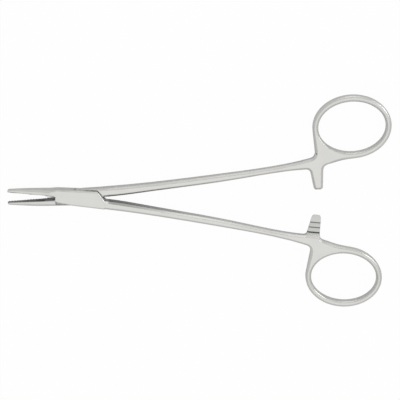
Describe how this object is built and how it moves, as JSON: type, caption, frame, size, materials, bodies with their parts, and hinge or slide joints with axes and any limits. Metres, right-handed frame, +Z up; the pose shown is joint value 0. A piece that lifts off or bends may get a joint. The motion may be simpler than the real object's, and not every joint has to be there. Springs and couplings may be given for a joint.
{
  "type": "surgical needle holder",
  "caption": "Ring-handled surgical needle holder with a box lock, short cross-cut jaws and a ratchet, lying slightly open.",
  "frame": {"origin": "on the pivot axis of the box lock, at the underside of the lock, which is the face that the instrument lies on", "axes": "+X from the jaws towards the finger rings, +Y towards the ring of the tongue half, +Z up, out of the upper cheek of the lock"},
  "size_m": [0.1507, 0.0874, 0.0056],
  "materials": {
    "satin_steel": "satin"
  },
  "bodies": {
    "box_side": {"box_half": "satin_steel", "pivot_pin": "satin_steel"},
    "tongue_side": {"tongue_half": "satin_steel"}
  },
  "joints": [
    {"name": "box_lock_hinge", "type": "hinge", "parent": "box_side", "child": "tongue_side", "pos_m": [0, 0, 0.0028], "axis": [0, 0, 1], "range_deg": [-7.9, 37]}
  ]
}
